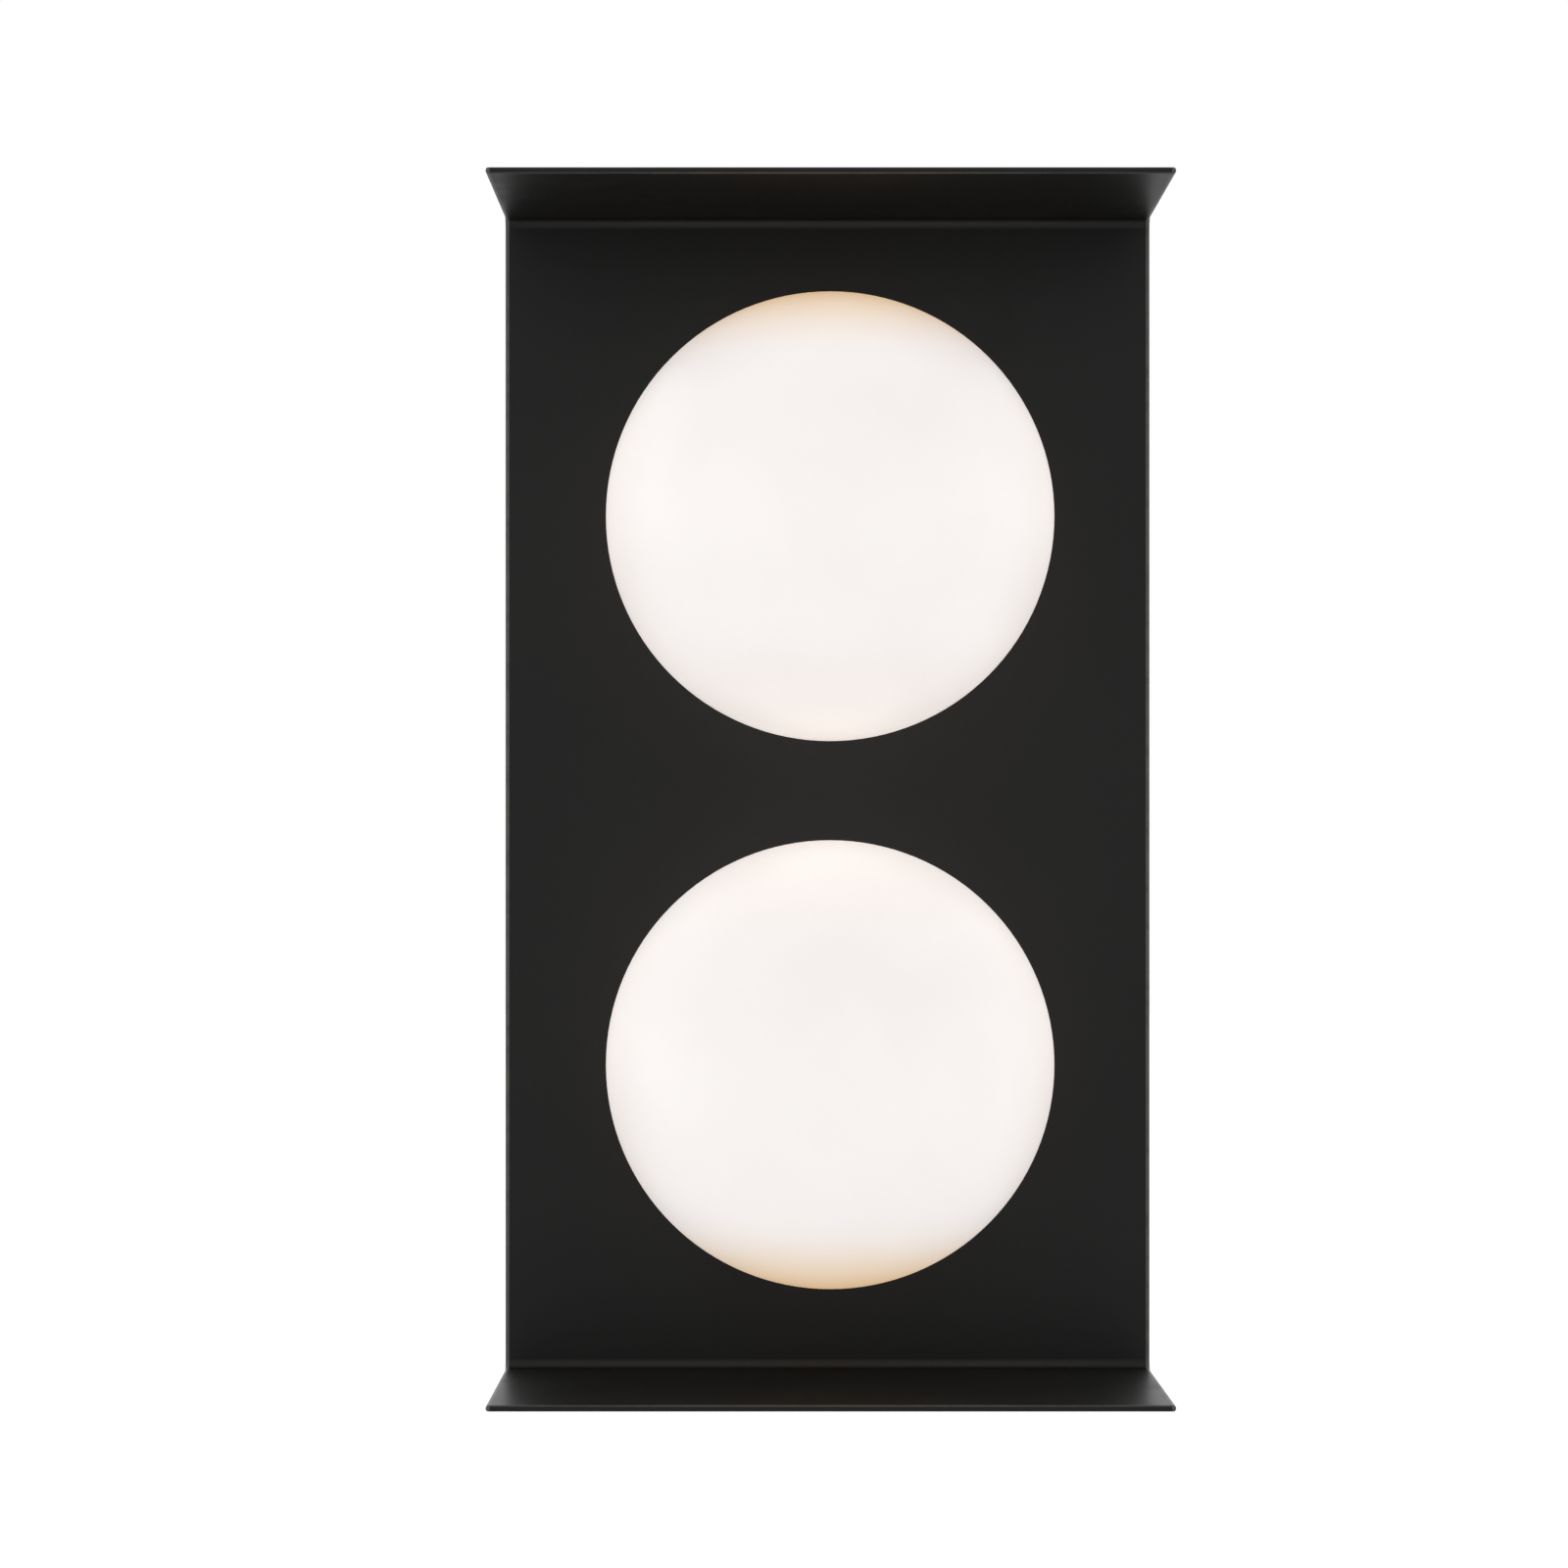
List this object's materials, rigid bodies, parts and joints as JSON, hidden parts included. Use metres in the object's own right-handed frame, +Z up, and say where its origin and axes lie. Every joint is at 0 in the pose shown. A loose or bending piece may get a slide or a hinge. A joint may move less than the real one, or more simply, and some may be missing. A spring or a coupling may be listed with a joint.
{
  "type": "wall light",
  "caption": "Wall light: a black folded steel channel with opal glass globes one above the other, wired to a wall plate by side thumb screws.",
  "frame": {"origin": "on the wall plane, at the centre of the wall plate's two screw slots, which is also the light's centre across and up", "axes": "+Z up along the channel, +X to the right seen from the room, -Y out from the wall towards the room"},
  "size_m": [0.212, 0.17, 0.382],
  "materials": {
    "powder_black": "fine satin powder coat",
    "gallery_black": "satin black paint",
    "pan_steel": "satin powder coat",
    "zinc_steel": "bright zinc plate",
    "spring_steel": "plain spring steel",
    "black_screw": "black zinc plate",
    "opal_glass": "white opal glass, satin etched, lit",
    "white_ceramic": "glazed",
    "seal_silicone": "translucent white silicone",
    "grommet_rubber": "matt rubber",
    "bush_plastic": "natural nylon",
    "white_polyamide": "moulded",
    "terminal_brass": "turned",
    "tinned_copper": "tin plate",
    "earth_green": "green zinc plate",
    "brown_silicone": "silicone insulation",
    "blue_silicone": "silicone insulation",
    "earth_silicone": "silicone insulation, green with a yellow stripe",
    "lamp_white": "moulded",
    "board_white": "white solder mask on aluminium",
    "emitter_yellow": "phosphor resin",
    "frosted_cover": "frosted polycarbonate, lit"
  },
  "bodies": {
    "wall_mount": {"wall_plate": "zinc_steel", "cable_grommet": "grommet_rubber", "plate_earth_screw": "earth_green"},
    "fixture": {"channel_frame": "powder_black", "wiring_pan": "pan_steel", "weld_studs": "zinc_steel", "pan_nuts": "zinc_steel", "terminal_block": "white_polyamide", "terminal_inserts": "terminal_brass", "terminal_screws": "zinc_steel", "terminal_block_screw": "zinc_steel", "earth_stud": "zinc_steel", "earth_nut": "terminal_brass", "earth_ring_terminal": "tinned_copper", "live_leads": "brown_silicone", "neutral_leads": "blue_silicone", "earth_lead": "earth_silicone", "gallery_upper": "gallery_black", "gallery_springs_upper": "spring_steel", "seal_ring_upper": "seal_silicone", "nipple_upper": "zinc_steel", "nipple_nuts_upper": "zinc_steel", "nipple_bush_upper": "bush_plastic", "holder_bracket_upper": "zinc_steel", "lampholder_upper": "white_ceramic", "holder_contacts_upper": "spring_steel", "holder_screws_upper": "zinc_steel", "gallery_lower": "gallery_black", "gallery_springs_lower": "spring_steel", "seal_ring_lower": "seal_silicone", "nipple_lower": "zinc_steel", "nipple_nuts_lower": "zinc_steel", "nipple_bush_lower": "bush_plastic", "holder_bracket_lower": "zinc_steel", "lampholder_lower": "white_ceramic", "holder_contacts_lower": "spring_steel", "holder_screws_lower": "zinc_steel"},
    "globe_upper_body": {"globe_upper": "opal_glass"},
    "lamp_upper_body": {"lamp_pins_upper": "tinned_copper", "lamp_base_upper": "lamp_white", "lamp_board_upper": "board_white", "lamp_emitters_upper": "emitter_yellow", "lamp_cover_upper": "frosted_cover"},
    "globe_lower_body": {"globe_lower": "opal_glass"},
    "lamp_lower_body": {"lamp_pins_lower": "tinned_copper", "lamp_base_lower": "lamp_white", "lamp_board_lower": "board_white", "lamp_emitters_lower": "emitter_yellow", "lamp_cover_lower": "frosted_cover"},
    "washer_left_body": {"thumb_washer_left": "zinc_steel"},
    "screw_left_body": {"thumb_screw_left": "black_screw"},
    "washer_right_body": {"thumb_washer_right": "zinc_steel"},
    "screw_right_body": {"thumb_screw_right": "black_screw"}
  },
  "joints": [
    {"name": "fixture_off", "type": "slide", "parent": "wall_mount", "child": "fixture", "axis": [0, -1, 0], "range_m": [0, 0.06]},
    {"name": "globe_upper_off", "type": "slide", "parent": "fixture", "child": "globe_upper_body", "axis": [0, -1, 0], "range_m": [0, 0.15]},
    {"name": "lamp_upper_pull", "type": "slide", "parent": "fixture", "child": "lamp_upper_body", "axis": [0, -1, 0], "range_m": [0, 0.04]},
    {"name": "globe_lower_off", "type": "slide", "parent": "fixture", "child": "globe_lower_body", "axis": [0, -1, 0], "range_m": [0, 0.15]},
    {"name": "lamp_lower_pull", "type": "slide", "parent": "fixture", "child": "lamp_lower_body", "axis": [0, -1, 0], "range_m": [0, 0.04]},
    {"name": "washer_left_travel", "type": "slide", "parent": "wall_mount", "child": "washer_left_body", "axis": [-1, 0, 0], "range_m": [0, 0.0014]},
    {"name": "screw_left_turn", "type": "hinge", "parent": "washer_left_body", "child": "screw_left_body", "pos_m": [-0.0608, -0.012, 0], "axis": [-1, 0, 0], "range_deg": [0, 720]},
    {"name": "washer_right_travel", "type": "slide", "parent": "wall_mount", "child": "washer_right_body", "axis": [1, 0, 0], "range_m": [0, 0.0014]},
    {"name": "screw_right_turn", "type": "hinge", "parent": "washer_right_body", "child": "screw_right_body", "pos_m": [0.0608, -0.012, 0], "axis": [1, 0, 0], "range_deg": [0, 720]}
  ],
  "couplings": [
    {"joint": "screw_left_turn", "follows": "washer_left_travel", "rad_per_m": 8975.9},
    {"joint": "screw_right_turn", "follows": "washer_right_travel", "rad_per_m": 8975.9}
  ]
}
